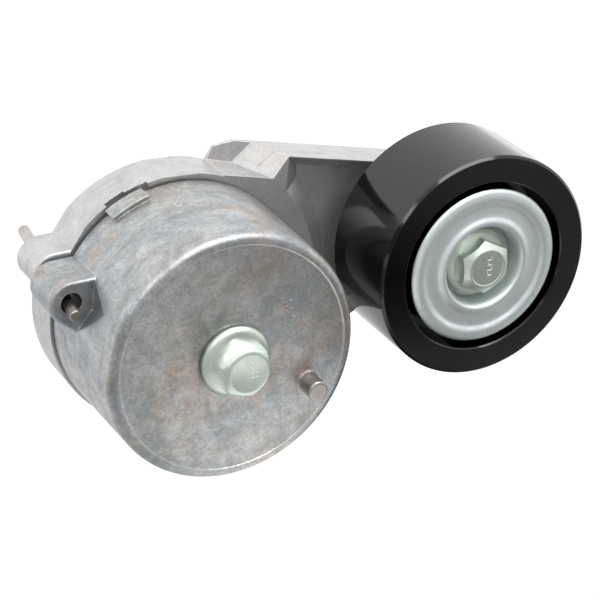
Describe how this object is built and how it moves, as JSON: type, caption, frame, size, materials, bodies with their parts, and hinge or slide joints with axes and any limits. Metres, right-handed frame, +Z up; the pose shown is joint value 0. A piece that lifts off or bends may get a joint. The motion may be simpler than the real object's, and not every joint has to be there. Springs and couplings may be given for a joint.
{
  "type": "belt tensioner",
  "caption": "Spring-loaded belt tensioner: a round cast spring case on a central bolt, a short arm that swings behind it, and a smooth idler pulley on a sealed ball bearing.",
  "frame": {"origin": "on the pivot axis in the plane of the rear seat, where the mounting bolt's thread leaves the tensioner", "axes": "+Y along the pivot axis and out of the rear seat, towards the engine; the closed front of the spring case looks towards -Y; the pulley is out towards +X; +Z is up"},
  "size_m": [0.1903, 0.1015, 0.0921],
  "materials": {
    "case_metal": "bare die-cast metal, satin with faint stains",
    "arm_metal": "bare die-cast metal, satin",
    "pulley_black": "smooth gloss black",
    "zinc_plate": "pale blue-green zinc plating, satin bright",
    "pin_steel": "plain turned steel",
    "spring_steel": "dark oiled spring wire",
    "bearing_steel": "ground bearing steel",
    "bush_plastic": "filled plain-bearing plastic",
    "friction_plastic": "friction plastic",
    "seal_rubber": "black rubber"
  },
  "bodies": {
    "case": {"spring_case": "case_metal", "locating_pin": "pin_steel", "mounting_bolt": "zinc_plate", "pivot_tube": "pin_steel", "end_plate": "pin_steel", "thrust_washer": "bush_plastic", "spring_seat": "bush_plastic", "torsion_spring": "spring_steel"},
    "swing_arm": {"arm": "arm_metal", "front_bush": "bush_plastic", "rear_bush": "bush_plastic", "damper_shoe": "friction_plastic", "damper_spring": "spring_steel", "dust_seal": "seal_rubber", "pulley_bolt": "zinc_plate", "pulley_spacer": "pin_steel", "front_dust_shield": "zinc_plate", "rear_dust_shield": "zinc_plate", "bearing_inner_ring": "bearing_steel"},
    "pulley": {"bearing_outer_ring": "bearing_steel", "front_bearing_seal": "seal_rubber", "rear_bearing_seal": "seal_rubber", "pulley_body": "pulley_black"},
    "ball_set": {"bearing_balls": "bearing_steel", "bearing_cage": "bush_plastic"},
    "stop_pin_rod": {"stop_pin": "pin_steel"}
  },
  "joints": [
    {"name": "arm_swing", "type": "hinge", "parent": "case", "child": "swing_arm", "pos_m": [0, 0, 0], "axis": [0, 1, 0], "range_deg": [0, 30], "stiffness_Nm_per_rad": 13, "springref_deg": -45.84, "deforming": ["torsion_spring"]},
    {"name": "pulley_spin", "type": "hinge", "parent": "swing_arm", "child": "pulley", "pos_m": [0.09877, -0.03887, 0.00673], "axis": [0, 1, 0], "continuous": true},
    {"name": "ball_set_spin", "type": "hinge", "parent": "swing_arm", "child": "ball_set", "pos_m": [0.09877, -0.03887, 0.00673], "axis": [0, 1, 0], "continuous": true},
    {"name": "stop_pin_slide", "type": "slide", "parent": "case", "child": "stop_pin_rod", "axis": [-0.0493, -0.987, -0.153], "range_m": [0, 0.05]}
  ],
  "couplings": [
    {"joint": "ball_set_spin", "follows": "pulley_spin", "ratio": 0.625}
  ]
}
